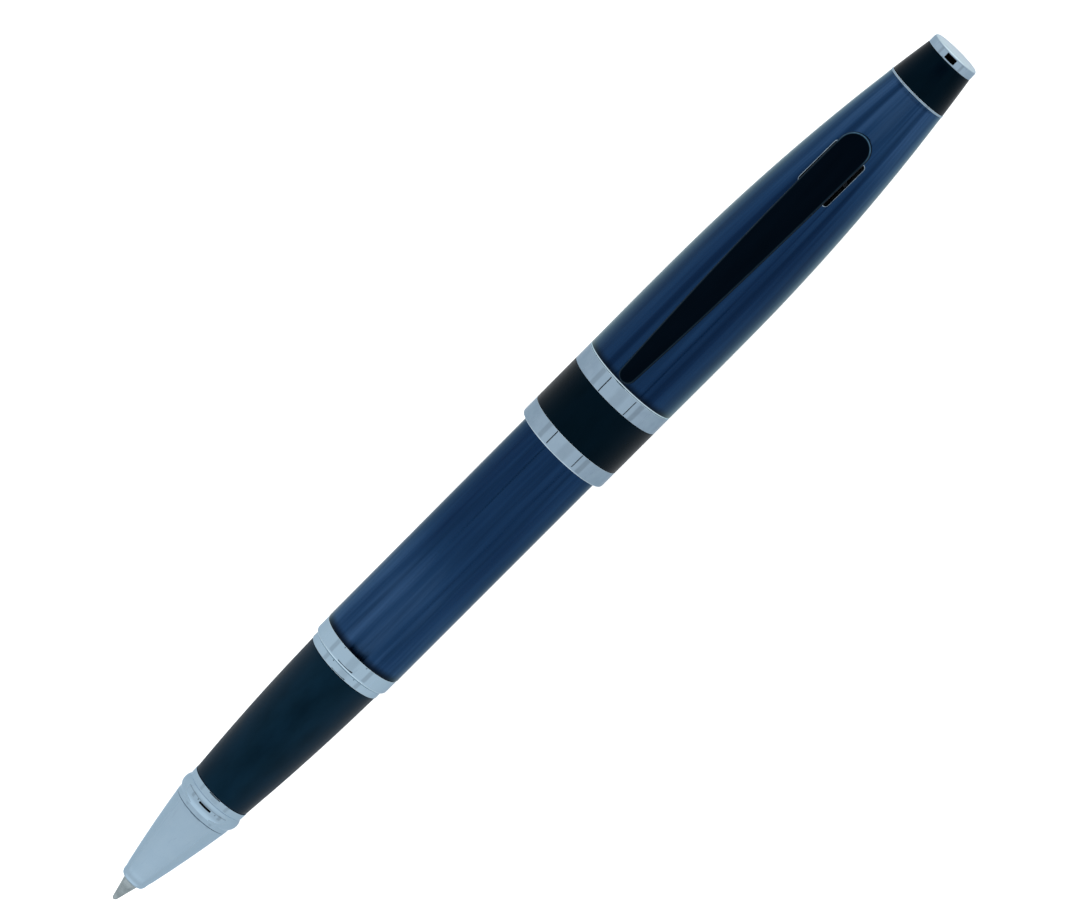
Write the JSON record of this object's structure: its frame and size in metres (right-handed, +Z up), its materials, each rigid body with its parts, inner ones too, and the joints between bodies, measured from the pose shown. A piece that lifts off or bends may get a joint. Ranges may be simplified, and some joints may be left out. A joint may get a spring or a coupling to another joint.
{
  "type": "rollerball pen",
  "caption": "Rollerball pen with its cap posted on the barrel: plated nose, black screw-off grip, blue barrel and cap, plated rings and a black sprung clip.",
  "frame": {"origin": "under the middle of the pen's length, at the height of the lowest point of its widest ring", "axes": "+X along the pen from the writing tip to the finial, +Z up through the pocket clip, +Y across the pen"},
  "size_m": [0.15, 0.0134, 0.0149],
  "materials": {
    "chrome": "cool bright plating with soft reflections",
    "tip_steel": "satin turned steel",
    "carbide": "polished hard metal",
    "grip_black": "satin black",
    "black_lacquer": "smooth black lacquer",
    "blue_lacquer": "deep blue translucent lacquer over lengthwise brushed metal",
    "clip_black": "smooth black coating",
    "brass": "turned brass",
    "black_plastic": "moulded",
    "liner_plastic": "moulded",
    "holder_plastic": "moulded, ink blue",
    "refill_metal": "drawn metal tube",
    "ink_fibre": "ink-soaked fibre",
    "rubber": "matt seal",
    "spring_steel": "drawn wire"
  },
  "bodies": {
    "barrel": {"barrel_tube": "blue_lacquer", "barrel_front_ring": "chrome", "barrel_thread_bushing": "brass", "barrel_end_plug": "black_plastic", "refill_spring": "spring_steel"},
    "section_seal": {"section_o_ring": "rubber"},
    "section": {"section_grip": "grip_black", "section_rear_ring": "chrome", "section_thread_tube": "brass", "front_ring": "chrome", "nose_cone": "chrome"},
    "refill": {"refill_tube": "refill_metal", "refill_tail_plug": "holder_plastic", "refill_feed_holder": "holder_plastic", "refill_tip": "tip_steel", "ink_reservoir": "ink_fibre", "ink_feed_rod": "ink_fibre"},
    "ball": {"writing_ball": "carbide"},
    "cap_liner": {"cap_liner": "liner_plastic"},
    "cap": {"cap_tube": "blue_lacquer", "cap_lip_ring": "chrome", "cap_band": "black_lacquer", "cap_upper_ring": "chrome", "cap_inner_tube": "brass", "cap_top_trim": "chrome", "cap_top_collar": "black_lacquer", "cap_finial": "chrome", "finial_screw": "spring_steel", "clip_carrier": "black_plastic", "clip_pivot_pin": "spring_steel", "clip_spring": "spring_steel"},
    "clip": {"clip": "clip_black"}
  },
  "joints": [
    {"name": "section_advance", "type": "slide", "parent": "barrel", "child": "section_seal", "axis": [-1, 0, 0], "range_m": [0, 0.005]},
    {"name": "section_unscrew", "type": "hinge", "parent": "section_seal", "child": "section", "pos_m": [-0.0317, 0, 0.00669], "axis": [-1, 0, 0], "range_deg": [0, 1441]},
    {"name": "refill_push", "type": "slide", "parent": "section", "child": "refill", "axis": [1, 0, 0], "range_m": [0, 0.001], "stiffness_N_per_m": 300, "springref_m": -0.0005, "deforming": ["refill_spring"]},
    {"name": "ball_roll", "type": "hinge", "parent": "refill", "child": "ball", "pos_m": [-0.0747, 0, 0.00669], "axis": [0, 1, 0], "continuous": true},
    {"name": "cap_pull", "type": "slide", "parent": "barrel", "child": "cap_liner", "axis": [1, 0, 0], "range_m": [0, 0.05]},
    {"name": "cap_turn", "type": "hinge", "parent": "cap_liner", "child": "cap", "pos_m": [0.0338, 0, 0.00669], "axis": [1, 0, 0], "continuous": true},
    {"name": "clip_flex", "type": "hinge", "parent": "cap", "child": "clip", "pos_m": [0.0545, 0, 0.01009], "axis": [0, 1, 0], "range_deg": [0, 4], "stiffness_Nm_per_rad": 2, "springref_deg": -1.15, "deforming": ["clip_spring"]}
  ],
  "couplings": [
    {"joint": "section_unscrew", "follows": "section_advance", "rad_per_m": 5026.5}
  ]
}
